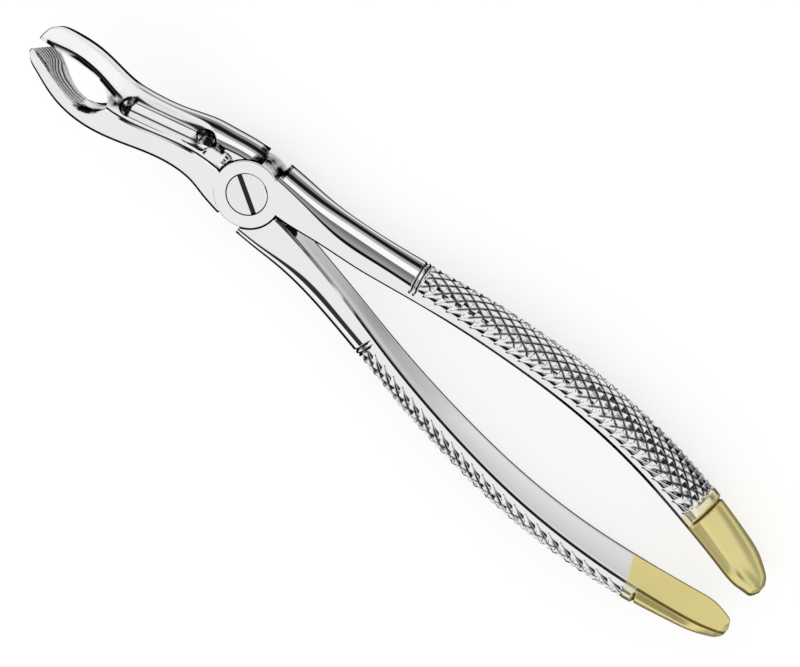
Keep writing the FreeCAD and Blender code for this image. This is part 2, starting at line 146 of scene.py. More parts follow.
def natural_spline(xs, ys):
    """Smooth curve through the points: a natural cubic spline."""
    xs, ys = np.array(xs, float), np.array(ys, float)
    count = len(xs)
    gap = np.diff(xs)
    system = np.eye(count)
    right = np.zeros(count)
    for i in range(1, count - 1):
        system[i, i - 1:i + 2] = gap[i - 1], 2 * (gap[i - 1] + gap[i]), gap[i]
        right[i] = 6 * ((ys[i + 1] - ys[i]) / gap[i] - (ys[i] - ys[i - 1]) / gap[i - 1])
    bend = np.linalg.solve(system, right)

    def curve(at):
        at = np.clip(np.asarray(at, float), xs[0], xs[-1])
        i = np.clip(np.searchsorted(xs, at, side="right") - 1, 0, count - 2)
        left, reach = at - xs[i], xs[i + 1] - at
        step = gap[i]
        return (
            bend[i] * reach ** 3 / (6 * step) + bend[i + 1] * left ** 3 / (6 * step)
            + (ys[i] / step - bend[i] * step / 6) * reach + (ys[i + 1] / step - bend[i + 1] * step / 6) * left
        )

    return curve


def arm_curves(stations):
    """Height, half depth, inner face, flat end and crest of an arm, each as a curve along the arm."""
    columns = list(zip(*stations))
    return [natural_spline(columns[0], column) for column in columns[1:]]


HANDLE_CURVES = arm_curves(HANDLE)
BEAK_CURVES = arm_curves(BEAK)


def ramp(value, start, end):
    """0 before start, 1 after end, smooth between."""
    t = np.clip((value - start) / (end - start), 0, 1)
    return t * t * (3 - 2 * t)


# ---------------------------------------------------------------- meshes

def new_piece(name, vertices, faces):
    """Mesh object from points in millimetres."""
    mesh = bpy.data.meshes.new(name)
    mesh.from_pydata((np.asarray(vertices) * MM).tolist(), [], faces)
    mesh.validate()
    mesh.update()
    piece = bpy.data.objects.new(name, mesh)
    bpy.context.scene.collection.objects.link(piece)
    return piece


def ring_faces(rings, points, flip):
    """Quads of a tube of rings, with one face to close each end."""
    i, j = np.meshgrid(np.arange(rings - 1), np.arange(points), indexing="ij")
    a = (i * points + j).ravel()
    b = (i * points + (j + 1) % points).ravel()
    quads = np.stack([a, b, b + points, a + points], axis=1)
    if flip:
        quads = quads[:, ::-1]
    faces = quads.tolist()
    first = list(range(points))
    last = list(range((rings - 1) * points, rings * points))
    faces.append(first if flip else first[::-1])
    faces.append(last[::-1] if flip else last)
    return faces


def section_grid(alongs, curves, bevels, counts, full=False):
    """Rings of D-shaped sections, as y and z grids, each column's stretch and its 0-1 place in that stretch.

    The bevels are those between the inner face and the front and back flats. The counts are the columns of
    the inner face, a bevel, a flat and the arch. In a full section the front flat runs on to where the arch
    would turn out of sight.
    """
    inner_count, corner_count, flat_count, arch_count = counts
    height, half, inner, flat, crest = [curve(alongs)[:, None] for curve in curves]
    front_flat = flat
    if full:
        reach = FULL_REACH * (crest - flat) - FULL_DROP * half - OUTLINE_BEVEL[0]
        front_flat = flat + np.maximum(reach, 0.0)
    (front_y, front_z), (back_y, back_z) = bevels
    columns_y, columns_z, stretch, place = [], [], [], []

    def add(name, t, y, z):
        columns_y.append(y)
        columns_z.append(z)
        stretch.extend([name] * len(t))
        place.extend(t)

    t = np.linspace(0, 1, inner_count, endpoint=False)
    add("inner", t, inner + 0 * t, height - half + back_z + t * (2 * half - front_z - back_z))
    t = np.linspace(0, 1, corner_count, endpoint=False)
    add("front_bevel", t, inner + front_y * t, height + half - front_z * (1 - t))
    t = np.linspace(0, 1, flat_count, endpoint=False)
    add("front", t, inner + front_y + t * (front_flat - inner - front_y), height + half + 0 * t)
    t = np.linspace(0, 1, arch_count, endpoint=False)
    add("arch", t, *side_profile(t, crest, height, half, flat, front_flat))
    t = np.linspace(0, 1, flat_count, endpoint=False)
    add("back", t, flat - t * (flat - inner - back_y), height - half + 0 * t)
    t = np.linspace(0, 1, corner_count, endpoint=False)
    add("back_bevel", t, inner + back_y * (1 - t), height - half + back_z * t)
    return np.hstack(columns_y), np.hstack(columns_z), np.array(stretch), np.array(place)


def full_front(t, crest, height, half, edge_place):
    """Outer side of a section whose front flat runs to a bevelled edge, as y and z over a 0-1 place."""
    bevel = np.clip(t / FULL_BEVEL_END, 0, 1)
    side = np.clip((t - FULL_BEVEL_END) / (FULL_SIDE_END - FULL_BEVEL_END), 0, 1)
    bulge = (1 + SIDE_BULGE) * side - SIDE_BULGE * side ** 2
    y = edge_place - OUTLINE_BEVEL[0] * (1 - bevel) + (crest - edge_place) * bulge
    z = height + half - OUTLINE_BEVEL[1] * bevel - (half - OUTLINE_BEVEL[1]) * side
    return y, z


def side_profile(t, crest, height, half, flat, front_flat):
    """The arch from the end of the front flat over the crest to the back flat, as y and z."""
    turn = t * math.pi
    y = flat + (crest - flat) * np.sin(turn)
    z = height + half * np.cos(turn)
    if front_flat is flat:
        return y, z
    front_y, front_z = full_front(t, crest, height, half, front_flat + OUTLINE_BEVEL[0])
    back_turn = math.pi / 2 * (1 + np.clip((t - FULL_SIDE_END) / FULL_BACK_LENGTH, 0, 1))
    back_y = flat + (crest - flat) * np.sin(back_turn)
    back_z = height + half * np.cos(back_turn)
    in_front = t < FULL_SIDE_END
    return np.where(in_front, front_y, back_y), np.where(in_front, front_z, back_z)


def arm_piece(name, alongs, direction, side, y, z):
    """Tube through the rings: direction -1 for handles and 1 for beaks, side 1 at +Y and -1 at -Y."""
    rings, points = y.shape
    x = direction * np.broadcast_to(np.reshape(alongs, (rings, -1)), y.shape)
    vertices = np.stack([x, side * y, z], axis=-1).reshape(-1, 3)
    return new_piece(name, vertices, ring_faces(rings, points, direction * side > 0))


# ---------------------------------------------------------------- values on the meshes

def store(piece, name, values):
    """Stores one value for each vertex."""
    attribute = piece.data.attributes.new(name, "FLOAT", "POINT")
    attribute.data.foreach_set("value", np.asarray(values, np.float32).ravel())


def face_table(piece):
    """Centres of the faces in millimetres, and the face and the vertex of each face corner."""
    mesh = piece.data
    centres = np.empty(len(mesh.polygons) * 3, np.float32)
    mesh.polygons.foreach_get("center", centres)
    sizes = np.empty(len(mesh.polygons), np.int32)
    mesh.polygons.foreach_get("loop_total", sizes)
    corner_vertex = np.empty(len(mesh.loops), np.int32)
    mesh.loops.foreach_get("vertex_index", corner_vertex)
    return centres.reshape(-1, 3) / MM, np.repeat(np.arange(len(sizes)), sizes), corner_vertex


def paint(piece, name, face_rule=None, point_rule=None, stored=None):
    """Stores at each face corner the highest of a rule for faces, a rule for points and a stored value."""
    mesh = piece.data
    centres, corner_face, corner_vertex = face_table(piece)
    values = np.zeros(len(corner_face), np.float32)
    if face_rule:
        values = face_rule(*centres.T).astype(np.float32)[corner_face]
    if point_rule:
        points = np.empty(len(mesh.vertices) * 3, np.float32)
        mesh.vertices.foreach_get("co", points)
        corners = (points.reshape(-1, 3) / MM)[corner_vertex]
        values = np.maximum(values, point_rule(*corners.T))
    if stored:
        at_vertices = np.empty(len(mesh.vertices), np.float32)
        mesh.attributes[stored].data.foreach_get("value", at_vertices)
        values = np.maximum(values, at_vertices[corner_vertex])
    attribute = mesh.attributes.new(name, "FLOAT", "CORNER")
    attribute.data.foreach_set("value", values.astype(np.float32))


# ---------------------------------------------------------------- relief of the handles

RING_PLACE = GRIP_START - 0.35
RING_SPREAD, RING_WIDTH, RING_DEPTH = 0.46, 0.3, 0.4
KNURL_START, KNURL_END = GRIP_START + 0.5, GRIP_END - 0.3
KNURL_LENGTH, KNURL_ACROSS, KNURL_DEPTH = 3.04, 2.3, 0.58
LONG_RUN_START, LONG_RUN_LENGTH = -0.2, 1.7
SHORT_RUN_START, SHORT_RUN_LENGTH = 0.8, 1.4
LEDGE_PLACE, LEDGE_DEPTH = GRIP_END + 1.4, 0.22
LEDGE_GROOVE_OFFSET, LEDGE_GROOVE_WIDTH, LEDGE_GROOVE_DEPTH = 0.25, 0.45, 0.45
INNER_HOLLOW = 0.12
FRONT_THICKER, THICKER_REACH, THICKER_FROM = 0.6, 1.2, (14, 28)
# Darkness of the shade painted on the front half's inner chamfer, as its dark reflection
CHAMFER_SHADE = 0.92
# Darkness of the brown shade painted on the gold end's inner bevel
GOLD_EDGE_SHADE = 0.8


def groove(value, centre, width):
    """V-shaped groove, 1 at its bottom."""
    return np.clip(1 - np.abs(value - centre) / width, 0, 1)


def near_integer(value):
    """Distance to the nearest whole number, as a share of the most it can be."""
    return 2 * np.abs(value - np.round(value))


def knurl(s, w, edge):
    """Depth below the tips of the pyramids.

    The V-shaped cuts of the two sets get shallower towards the edge and run out to points, one set later than
    the other.
    """
    one = near_integer(s / KNURL_LENGTH + w / KNURL_ACROSS)
    other = near_integer(s / KNURL_LENGTH - w / KNURL_ACROSS)
    front = w < 0
    long_run = np.clip((edge - LONG_RUN_START) / LONG_RUN_LENGTH, 0, 1)
    short_run = np.clip((edge - SHORT_RUN_START) / SHORT_RUN_LENGTH, 0, 1)
    one_run = np.where(front, short_run, long_run)
    other_run = np.where(front, long_run, short_run)
    return KNURL_DEPTH * np.maximum(np.maximum(one_run - one, other_run - other), 0)


def ring_grooves(s):
    """The two grooves of the ring in front of the grip."""
    return groove(s, RING_PLACE - RING_SPREAD, RING_WIDTH) + groove(s, RING_PLACE + RING_SPREAD, RING_WIDTH)


def handle_relief(s, w, edge):
    """How far the outer arch lies below the smooth form: ring, knurl and the ledge of the plated end."""
    ring = ring_grooves(s)
    knurled = ramp(s, KNURL_START - 0.25, KNURL_START + 0.25) * (1 - ramp(s, KNURL_END - 1.2, KNURL_END))
    ledge = LEDGE_DEPTH * ramp(s, LEDGE_PLACE - 0.1, LEDGE_PLACE + 0.1)
    ledge_groove = groove(s, LEDGE_PLACE + LEDGE_GROOVE_OFFSET, LEDGE_GROOVE_WIDTH)
    ledge_groove = LEDGE_GROOVE_DEPTH * ledge_groove
    at_edge = ramp(edge, -0.9, 0.3)
    return at_edge * (RING_DEPTH * ring + ledge + ledge_groove) + knurled * knurl(s, w, edge)


def handle_place(along, y):
    """Length along the handle's curve of a point that far behind the pivot and that far out."""
    stations = np.linspace(HANDLE_ROOT, HANDLE_END, 1200)
    inner = HANDLE_CURVES[2](stations)
    length = stations[0] + np.concatenate([[0], np.cumsum(np.hypot(np.diff(stations), np.diff(inner)))])
    lean = np.gradient(inner, stations)
    lean = lean / np.sqrt(1 + lean ** 2)
    centre = (HANDLE_CURVES[2](along) + HANDLE_CURVES[4](along)) / 2
    return np.interp(along, stations, length) + (y - centre) * np.interp(along, stations, lean)


def handle_grid(alongs, counts, side):
    """Handle rings with the relief pressed in, for the front half (side -1) or the back half (side 1).

    Beside the y and z grids and the columns' stretches, this gives the length along the handle, the relief
    and the shade painted on the front half's inner chamfer at each point.
    """
    bevels = (HANDLE_BEVEL if side < 0 else FRONT_BEVEL, BACK_BEVEL)
    y, z, stretch, place = section_grid(alongs, HANDLE_CURVES, bevels, counts)
    s = handle_place(alongs[:, None], y)
    arch = np.flatnonzero(stretch == "arch")
    step = np.hypot(np.diff(y[:, arch], axis=1), np.diff(z[:, arch], axis=1))
    length = np.hstack([np.zeros((len(alongs), 1)), np.cumsum(step, axis=1)])
    total = length[:, -1:]
    w = np.zeros_like(y)
    edge = np.full_like(y, -2.0)
    w[:, arch] = length - total / 2
    edge[:, arch] = np.minimum(length, total - length)
    flat_end = HANDLE_CURVES[3](alongs)[:, None]
    for stretch_name, sign in (("front", 1), ("back", -1)):
        columns = np.flatnonzero(stretch == stretch_name)
        edge[:, columns] = y[:, columns] - flat_end
        w[:, columns] = -sign * (total / 2 + np.abs(edge[:, columns]))
    relief = handle_relief(s, w, edge)
    normal_y, normal_z = ring_normals(y, z)
    hollow = np.where(stretch == "inner", INNER_HOLLOW * (1 - (2 * place - 1) ** 2), 0.0)
    thicker = np.clip((flat_end - y) / THICKER_REACH, 0, 1) * ramp(alongs, *THICKER_FROM)[:, None]
    y = y - normal_y * relief + hollow - (FRONT_THICKER * thicker if side < 0 else 0)
    z = z - normal_z * relief
    painted_chamfer_shade = CHAMFER_SHADE * (stretch == "front_bevel") * (side < 0) + 0 * y
    return y, z, stretch, s, relief, painted_chamfer_shade


def ring_normals(y, z):
    """Outward normals within each ring."""
    dy = np.roll(y, -1, axis=1) - np.roll(y, 1, axis=1)
    dz = np.roll(z, -1, axis=1) - np.roll(z, 1, axis=1)
    size = np.maximum(np.hypot(dy, dz), 1e-9)
    return -dz / size, dy / size


# ---------------------------------------------------------------- beaks

# Outline of the mouth between the beaks, and the spoon-shaped hollow in each beak
MOUTH_START, MOUTH_CROWN, MOUTH_HALF = 31.0, 36.3, 3.76
MOUTH_SHOULDER, MOUTH_SHOULDER_HALF, MOUTH_SLOPE = 41.5, 3.14, 0.2157
MOUTH_BLEND = 6
HOLLOW_CENTRE, HOLLOW_RADII = (38.8, 16.6), (8.6, 4.3, 3.7)
HOLLOW_TILT = math.radians(9.0)
BACK_LIP, BACK_LIP_FROM = 0.95, (37.5, 43.5)

# Serrations inside the beaks
SERRATED_FROM, SERRATION_PITCH, SERRATION_DEPTH = 35.4, 0.68, 0.24
CROSS_PITCH, RIM_CROSS_PITCH = 0.7, 0.5

# Cove along the flat front of the back half's beak, the facet outside it and the painted dark line along the
# crest
COVE_START, COVE_BLEND, COVE_FADE = 27.5, 3.0, (47.0, 49.3)
COVE_DEPTH, COVE_WIDTH, COVE_SPLIT, COVE_MARGIN = 0.2, 1.4, 0.62, 0.15
COVE_LINE = natural_spline(
    (20.0, 31.6, 35.4, 39.4, 43.1, 46.3, 49.0, 51.0), (3.1, 4.35, 4.96, 5.0, 4.5, 3.5, 2.4, 1.9)
)
FACET_TURN = math.radians(60)
CREST_LINE = np.radians((84, 90, 98, 104))

# Tips
FRONT_TIP_SLANT, BACK_TIP_SLANT, TIP_TRIM, TIP_TRIM_FROM, TIP_ROUND = 2.6, 0.9, 0.5, 41, 0.3


def mouth_half_width(x):
    """Half the width of the mouth's outline at a distance in front of the pivot."""
    root = ((MOUTH_CROWN - MOUTH_START) ** 2 + MOUTH_HALF ** 2) / (2 * MOUTH_HALF)
    drop = MOUTH_HALF - MOUTH_SHOULDER_HALF
    crown = ((MOUTH_SHOULDER - MOUTH_CROWN) ** 2 + drop ** 2) / (2 * drop)
    rising = np.sqrt(np.maximum(root ** 2 - (MOUTH_CROWN - x) ** 2, 0)) - (root - MOUTH_HALF)
    over = np.sqrt(np.maximum(crown ** 2 - (x - MOUTH_CROWN) ** 2, 0)) - (crown - MOUTH_HALF)
    falling = MOUTH_SHOULDER_HALF - MOUTH_SLOPE * (x - MOUTH_SHOULDER)
    return np.where(x < MOUTH_CROWN, rising, np.where(x < MOUTH_SHOULDER, over, falling))


def hollow_half_width(x, z):
    """Half the width of the spoon-shaped hollow at a point seen from the side."""
    dx, dz = x - HOLLOW_CENTRE[0], z - HOLLOW_CENTRE[1]
    u = dx * math.cos(HOLLOW_TILT) - dz * math.sin(HOLLOW_TILT)
    v = dx * math.sin(HOLLOW_TILT) + dz * math.cos(HOLLOW_TILT)
    inside = 1 - (u / HOLLOW_RADII[0]) ** 2 - (v / HOLLOW_RADII[2]) ** 2
    return HOLLOW_RADII[1] * np.sqrt(np.maximum(inside, 0))


def mouth_opening(x, y_share, z):
    """How far the inner face stands off the middle plane, with y_share 0 at the back edge and 1 in front."""
    outline = np.maximum(mouth_half_width(x), 0) * (x > MOUTH_START)
    outline = outline - BACK_LIP * ramp(x, *BACK_LIP_FROM) * (1 - y_share)
    hollow = hollow_half_width(x, z) * (x > MOUTH_START)
    return (np.maximum(outline, 0) ** MOUTH_BLEND + hollow ** MOUTH_BLEND) ** (1 / MOUTH_BLEND)


def cove_shares(alongs):
    """How much of the cove's reshaping and of its depth each ring takes."""
    here = ramp(alongs, COVE_START, COVE_START + COVE_BLEND)[:, None]
    return here, here * (1 - ramp(alongs, *COVE_FADE)[:, None])


def cut_cove(alongs, y, z, painted_shade, opened, stretch, place):
    """Presses the cove into the flat front and paints shade into it, in the given grids."""
    inner, flat = [curve(alongs)[:, None] for curve in BEAK_CURVES[2:4]]
    here, strength = cove_shares(alongs)
    columns = np.flatnonzero(stretch == "front")
    rim = np.maximum(opened[:, columns], inner + BEAK_BEVEL[0])
    line = np.minimum(COVE_LINE(alongs), flat[:, 0] - COVE_MARGIN)[:, None]
    t = place[columns][None, :]
    to_line = np.clip(t / COVE_SPLIT, 0, 1)
    past_line = np.clip((t - COVE_SPLIT) / (1 - COVE_SPLIT), 0, 1)
    spaced = rim + (line - rim) * to_line + (flat - line) * past_line
    y[:, columns] = y[:, columns] * (1 - here) + spaced * here
    near = np.clip(1 - (line - y[:, columns]) / COVE_WIDTH, 0, 1) * (t <= COVE_SPLIT)
    z[:, columns] -= COVE_DEPTH * strength * near ** 2
    # Painted shade along the cove, darkest near its line
    painted_shade[:, columns] = np.maximum(painted_shade[:, columns], strength * ramp(near, 0.1, 0.75))


def flatten_arch(alongs, y, z, painted_shade, stretch, place):
    """Turns the front of the arch to a facet and paints a dark line along the crest for its dark reflection,
    in the given grids.
    """
    height, half, _, flat, crest = [curve(alongs)[:, None] for curve in BEAK_CURVES]
    here, strength = cove_shares(alongs)
    arch = np.flatnonzero(stretch == "arch")
    turned = place[arch][None, :] * math.pi
    share_flat = np.clip(turned / FACET_TURN, 0, 1)
    chord_y = flat + (crest - flat) * math.sin(FACET_TURN) * share_flat
    chord_z = height + half * (1 - (1 - math.cos(FACET_TURN)) * share_flat)
    blend = here * (turned < FACET_TURN)
    y[:, arch] += blend * (chord_y - y[:, arch])
    z[:, arch] += blend * (chord_z - z[:, arch])
    # Painted dark reflection: a black line along the crest
    crest_line = ramp(turned, *CREST_LINE[:2]) * (1 - ramp(turned, *CREST_LINE[2:]))
    painted_shade[:, arch] = np.maximum(painted_shade[:, arch], strength * crest_line)


def beak_grid(alongs, counts, front_half):
    """Beak rings with the mouth, hollow and serrations in the inner face, and the shade painted at each
    point.
    """
    y, z, stretch, place = section_grid(alongs, BEAK_CURVES, (BEAK_BEVEL, BEAK_BEVEL), counts, front_half)
    height, half = [curve(alongs)[:, None] for curve in BEAK_CURVES[:2]]
    x = np.repeat(np.asarray(alongs)[:, None], y.shape[1], axis=1)
    share = (z - height + half) / (2 * half)
    opened = mouth_opening(x, share, z)
    tip_turn = np.clip((x - TIP + TIP_ROUND) / TIP_ROUND, 0, 1)
    opened = opened + TIP_ROUND * (1 - np.sqrt(1 - tip_turn ** 2))
    cut = serration(x, z - height) * ramp(half - np.abs(z - height), 0.3, 0.6)
    y = np.maximum(y, opened + np.where(opened > 0.2, SERRATION_DEPTH * cut, 0))
    # Painted shade in the bottoms of the serrations
    painted_shade = np.where(y <= opened + SERRATION_DEPTH + 0.01, ramp(cut, 0.3, 0.8) * (opened > 0.2), 0)
    # Painted shade at the very tip, as a dark outline
    painted_shade = np.maximum(painted_shade, ramp(x, TIP - 0.3, TIP - 0.1))
    if not front_half:
        cut_cove(alongs, y, z, painted_shade, opened, stretch, place)
        flatten_arch(alongs, y, z, painted_shade, stretch, place)
    tip_slant = FRONT_TIP_SLANT if front_half else BACK_TIP_SLANT
    x = x - (TIP_TRIM + tip_slant * (1 - share)) * ramp(x, TIP_TRIM_FROM, TIP)
    return x, y, z, painted_shade


def serration(x, v):
    """Depth of the lengthwise cuts and the cross cuts near the root and along the front rim, from 0 to 1."""
    lengthwise = near_integer(v / SERRATION_PITCH + 0.04 * np.sin(x * 2.1))
    crossed = 0.75 * (1 - ramp(x, SERRATED_FROM + 0.5, SERRATED_FROM + 3.5))
    cross = crossed * near_integer(x / CROSS_PITCH + 0.15 * np.sin(v * 5))
    cross = np.maximum(cross, near_integer(x / RIM_CROSS_PITCH) * ramp(v, 2.3, 2.6))
    fade = 0.75 + 0.25 * ramp(x, SERRATED_FROM, SERRATED_FROM + 4)
    return fade * np.maximum(lengthwise, cross) * ramp(x, SERRATED_FROM - 0.2, SERRATED_FROM + 0.3)


# ---------------------------------------------------------------- round forms and booleans

def lathe(name, profile, segments=160):
    """Solid of revolution round the pivot axis from (radius, height) corners, with a face at each end."""
    angles = np.linspace(0, 2 * math.pi, segments, endpoint=False)
    vertices = [(r * math.cos(a), r * math.sin(a), h) for r, h in profile for a in angles]
    return new_piece(name, vertices, ring_faces(len(profile), segments, False))


def rounded_plate(name, low, high, rounded_top):
    """Round plate with the edge of its shown face rounded."""
    turn = np.linspace(0, math.pi / 2, 13)
    profile = [
        (PLATE_RADIUS - PLATE_EDGE * (1 - math.cos(a)), high - PLATE_EDGE * (1 - math.sin(a))) for a in turn
    ]
    inside = PLATE_RADIUS - PLATE_EDGE - 0.05
    profile = [(inside, low), (PLATE_RADIUS, low)] + profile + [(inside, high)]
    if not rounded_top:
        profile = [(r, low + high - h) for r, h in profile][::-1]
    return lathe(name, profile)


def cylinder(name, radius, low, high):
    return lathe(name, [(radius, low), (radius, high)])


def move(piece, offset):
    piece.data.transform(Matrix.Translation(Vector(offset) * MM))
    return piece


def turn(piece, angle, axis):
    piece.data.transform(Matrix.Rotation(angle, 4, axis))
    return piece


def combine(piece, tool, operation):
    """Applies a boolean and removes the tool."""
    modifier = piece.modifiers.new("combine", "BOOLEAN")
    modifier.operation = operation
    modifier.solver = "MANIFOLD"
    modifier.object = tool
    graph = bpy.context.evaluated_depsgraph_get()
    mesh = bpy.data.meshes.new_from_object(piece.evaluated_get(graph))
    piece.modifiers.clear()
    piece.data = mesh
    bpy.data.objects.remove(tool)


def capsule(name, radius, start, slope, length):
    """Round-ended cutter whose axis rises by slope from start."""
    turns = np.linspace(0.02, math.pi / 2, 16)
    profile = [(radius * math.sin(a), -radius * math.cos(a)) for a in turns]
    profile += [(radius, along) for along in np.arange(0.3, length - 0.2, 0.3)]
    profile += [(radius * math.sin(a), length + radius * math.cos(a)) for a in turns[::-1]]
    cutter = lathe(name, profile, 96)
    turn(cutter, math.pi / 2 - math.radians(slope), "Y")
    return move(cutter, start)


# ---------------------------------------------------------------- steel halves

# Relief cut in the neck, with points given on the +Y side. The dark patches are painted shade, and the glints
# are spots kept clear of it.
SCOOP_RADIUS, SCOOP_SIDE = 2.15, 3.05
FRONT_SCOOP_NEAR = ((12.9, 3.5, 9.3), 2.35)
FRONT_SCOOP_FAR = ((27.3, 3.1, 19.4), 2.3)
SCOOP_PAINTED_PATCHES = (((14.3, 2.0, 7.9), 1.7, 0.9), ((30.4, 2.6, 20.2), 2.2, 0.6))
SCOOP_GLINTS = ((11.6, 3.9, 7.4), (28.9, 2.6, 18.0), (26.6, 1.6, 17.6))


def ball(radius, centre):
    return capsule("ball", radius, centre, 0.0, 0.01)


def front_scoops(side):
    """Relief cut in the neck's front face, deeper at its ends, and the lead-in from it to the joint."""
    return [
        capsule("scoop", SCOOP_RADIUS, (12.7, side * SCOOP_SIDE, 9.35), 35.0, 17.9),
        *(ball(radius, (x, side * y, z)) for (x, y, z), radius in (FRONT_SCOOP_NEAR, FRONT_SCOOP_FAR)),
        capsule("scoop_lead", 2.2, (7.6, side * 2.3, 9.2), 14.0, 3.2),
    ]


def back_scoops(side):
    return [capsule("scoop", SCOOP_RADIUS, (13.9, side * SCOOP_SIDE, 0.35), 40.0, 17.0)]


BEAK_COUNTS = (64, 4, 26, 60)
HANDLE_COUNTS = (14, 8, 14, 72)


def beak_piece(name, side, front_half):
    """Whole beak of a half from under the joint's plate."""
    alongs = np.concatenate([
        np.arange(BEAK_ROOT, 30.8, 0.3), np.arange(30.8, 33.0, 0.08), np.arange(33.0, TIP - 0.8, 0.16),
        np.linspace(TIP - 0.8, TIP, 9),
    ])
    x, y, z, painted_shade = beak_grid(alongs, BEAK_COUNTS, front_half)
    piece = arm_piece(name, x, 1, side, y, z)
    # Stores the beak's painted shade
    store(piece, "stored_painted_shade", painted_shade)
    return piece


def shank_piece(name, side):
    """Handle of a half from under the joint's plate to the grip."""
    alongs = np.concatenate([
        np.arange(HANDLE_ROOT, GRIP_START - 3.0, 0.3), np.arange(GRIP_START - 3.0, GRIP_START, 0.08),
        [GRIP_START],
    ])
    y, z, _, _, _, painted_chamfer_shade = handle_grid(alongs, HANDLE_COUNTS, side)
    piece = arm_piece(name, alongs, -1, side, y, z)
    # Stores the painted shade of the chamfer
    store(piece, "stored_painted_shade", painted_chamfer_shade * (alongs[:, None] > PLATE_RADIUS + 0.6))
    return piece


def front_joint():
    """Seat, plate and bores of the front half."""
    outside = JOINT_TOP / 2
    seat = cylinder("seat", PLATE_RADIUS + SEAT_GAP, -outside, LAP + LAP_GAP / 2)
    plate = rounded_plate("plate", LAP + LAP_GAP / 2, JOINT_TOP, True)
    head_floor = JOINT_TOP - SCREW_HEAD_HEIGHT - LAP_GAP
    return seat, plate, [
        cylinder("counterbore", SCREW_RADIUS + RING_GAP, head_floor, JOINT_TOP + outside),
        cylinder("bore", SCREW_RADIUS / 2 + LAP_GAP, -outside, JOINT_TOP + outside),
    ]


def back_joint():
    """Seat, plate and bore of the back half."""
    outside = JOINT_TOP / 2
    seat = cylinder("seat", PLATE_RADIUS + SEAT_GAP, LAP - LAP_GAP / 2, JOINT_TOP + outside)
    plate = rounded_plate("plate", 0, LAP - LAP_GAP / 2, False)
    return seat, plate, [cylinder("bore", SCREW_END_BORE, -outside, JOINT_TOP)]


def steel_half(name, beak_side, front_half):
    """One polished half up to its grip."""
    half = beak_piece(name, beak_side, front_half)
    handle = shank_piece(name + "_handle", -beak_side)
    seat, plate, bores = front_joint() if front_half else back_joint()
    scoops = back_scoops(beak_side) if front_half else front_scoops(beak_side)
    combine(half, handle, "UNION")
    combine(half, seat, "DIFFERENCE")
    combine(half, plate, "UNION")
    for tool in bores + scoops:
        combine(half, tool, "DIFFERENCE")
    # Paints shade into the joint's clearances, the ring grooves and the stored places
    paint(half, "painted_shade", joint_painted_shade, ring_groove_painted_shade, "stored_painted_shade")
    paint(half, "satin", point_rule=serrated_area if front_half else brushed_beak)
    # Paints dark patches of shade at the ends of the relief cuts, the spoon's root and the seat's crescent
    paint(half, "painted_dark_patches", point_rule=mouth_root_painted_shade if front_half else scoop_painted_shade)
    return half


def brushed_beak(x, y, z):
    """Serrated faces and the outer side of the back half's beak, brushed rather than polished."""
    height, depth = BEAK_CURVES[0](x), BEAK_CURVES[1](x)
    outside = (np.abs(y) > COVE_LINE(x) + 0.05) & (z > height + 0.05 * depth)
    return np.maximum(serrated_area(x, y, z), outside * ramp(x, 27.0, 31.0))


def distance_to(x, y, z, centre):
    """Distance to a point that lies as far to either side."""
    return np.sqrt((x - centre[0]) ** 2 + (np.abs(y) - centre[1]) ** 2 + (z - centre[2]) ** 2)


def crescent_painted_shade(x, y, z):
    """Shade painted in dark patches on the crescent of the seat that the joint leaves open."""
    radius = np.hypot(x, y)
    return 0.75 * ((np.abs(x) < 3.6) & (radius > 6.55) & (z < JOINT_TOP - 0.3) & (z > 0.3))


def scoop_painted_shade(x, y, z):
    """Shade painted on the ends of the relief cut and its lead-in, with spots kept clear of it for the
    glints.
    """
    dark = crescent_painted_shade(x, y, z)
    for centre, radius in (FRONT_SCOOP_NEAR, FRONT_SCOOP_FAR):
        inside = (distance_to(x, y, z, centre) < radius + 0.06) * ramp(z, centre[2] - 2.9, centre[2] - 2.5)
        outer = ramp(np.abs(y), centre[1] - 0.9, centre[1] - 0.3)
        dark = np.maximum(dark, inside * (0.8 + 0.2 * outer))
    lead = (x > 8.6) & (x < 11.5) & (z < 8.6) & (z > 6.5)
    dark = np.maximum(dark, lead * ramp(np.abs(y), 2.3, 3.0) * (np.abs(y) < 4.6))
    for centre, radius, strength in SCOOP_PAINTED_PATCHES:
        near = 1 - ramp(distance_to(x, y, z, centre), 0.3 * radius, radius)
        dark = np.maximum(dark, strength * near)
    for glint in SCOOP_GLINTS:
        dark = dark * ramp(distance_to(x, y, z, glint), 0.3, 0.5)
    return dark


def mouth_root_painted_shade(x, y, z):
    """Shade painted in the root of the front half's spoon, and on the seat's open crescent."""
    opened = mouth_opening(x, 0.5, z)
    inside = (np.abs(y) < opened + 0.5) & (z > BEAK_CURVES[0](x) - 0.5)
    root = inside * ramp(x, 31.6, 32.4) * (1 - ramp(x, 35.6, 37.0))
    return np.maximum(crescent_painted_shade(x, y, z), root)


# Depth of the dark strip of painted shade at the front of the gap between the necks
GAP_SHADE = 0.7


def joint_painted_shade(x, y, z):
    """Shade painted on faces deep in the joint's clearances and at the front of the gap between the necks."""
    radius = np.hypot(x, y)
    deep = z < JOINT_TOP - 0.12
    exposed = (np.abs(x) < 3.0) & (radius < PLATE_RADIUS + SEAT_GAP / 2)
    wall = (np.abs(radius - PLATE_RADIUS) < SEAT_GAP + 0.1) & deep & ~exposed
    ring = (radius < SCREW_RADIUS + RING_GAP + 0.05) & deep
    front_face = BEAK_CURVES[0](x) + BEAK_CURVES[1](x)
    neck = (x > PLATE_RADIUS) & (x < MOUTH_START + 0.6)
    gap = neck & (np.abs(y) < 0.13) & (z > front_face - GAP_SHADE)
    return wall | ring | gap


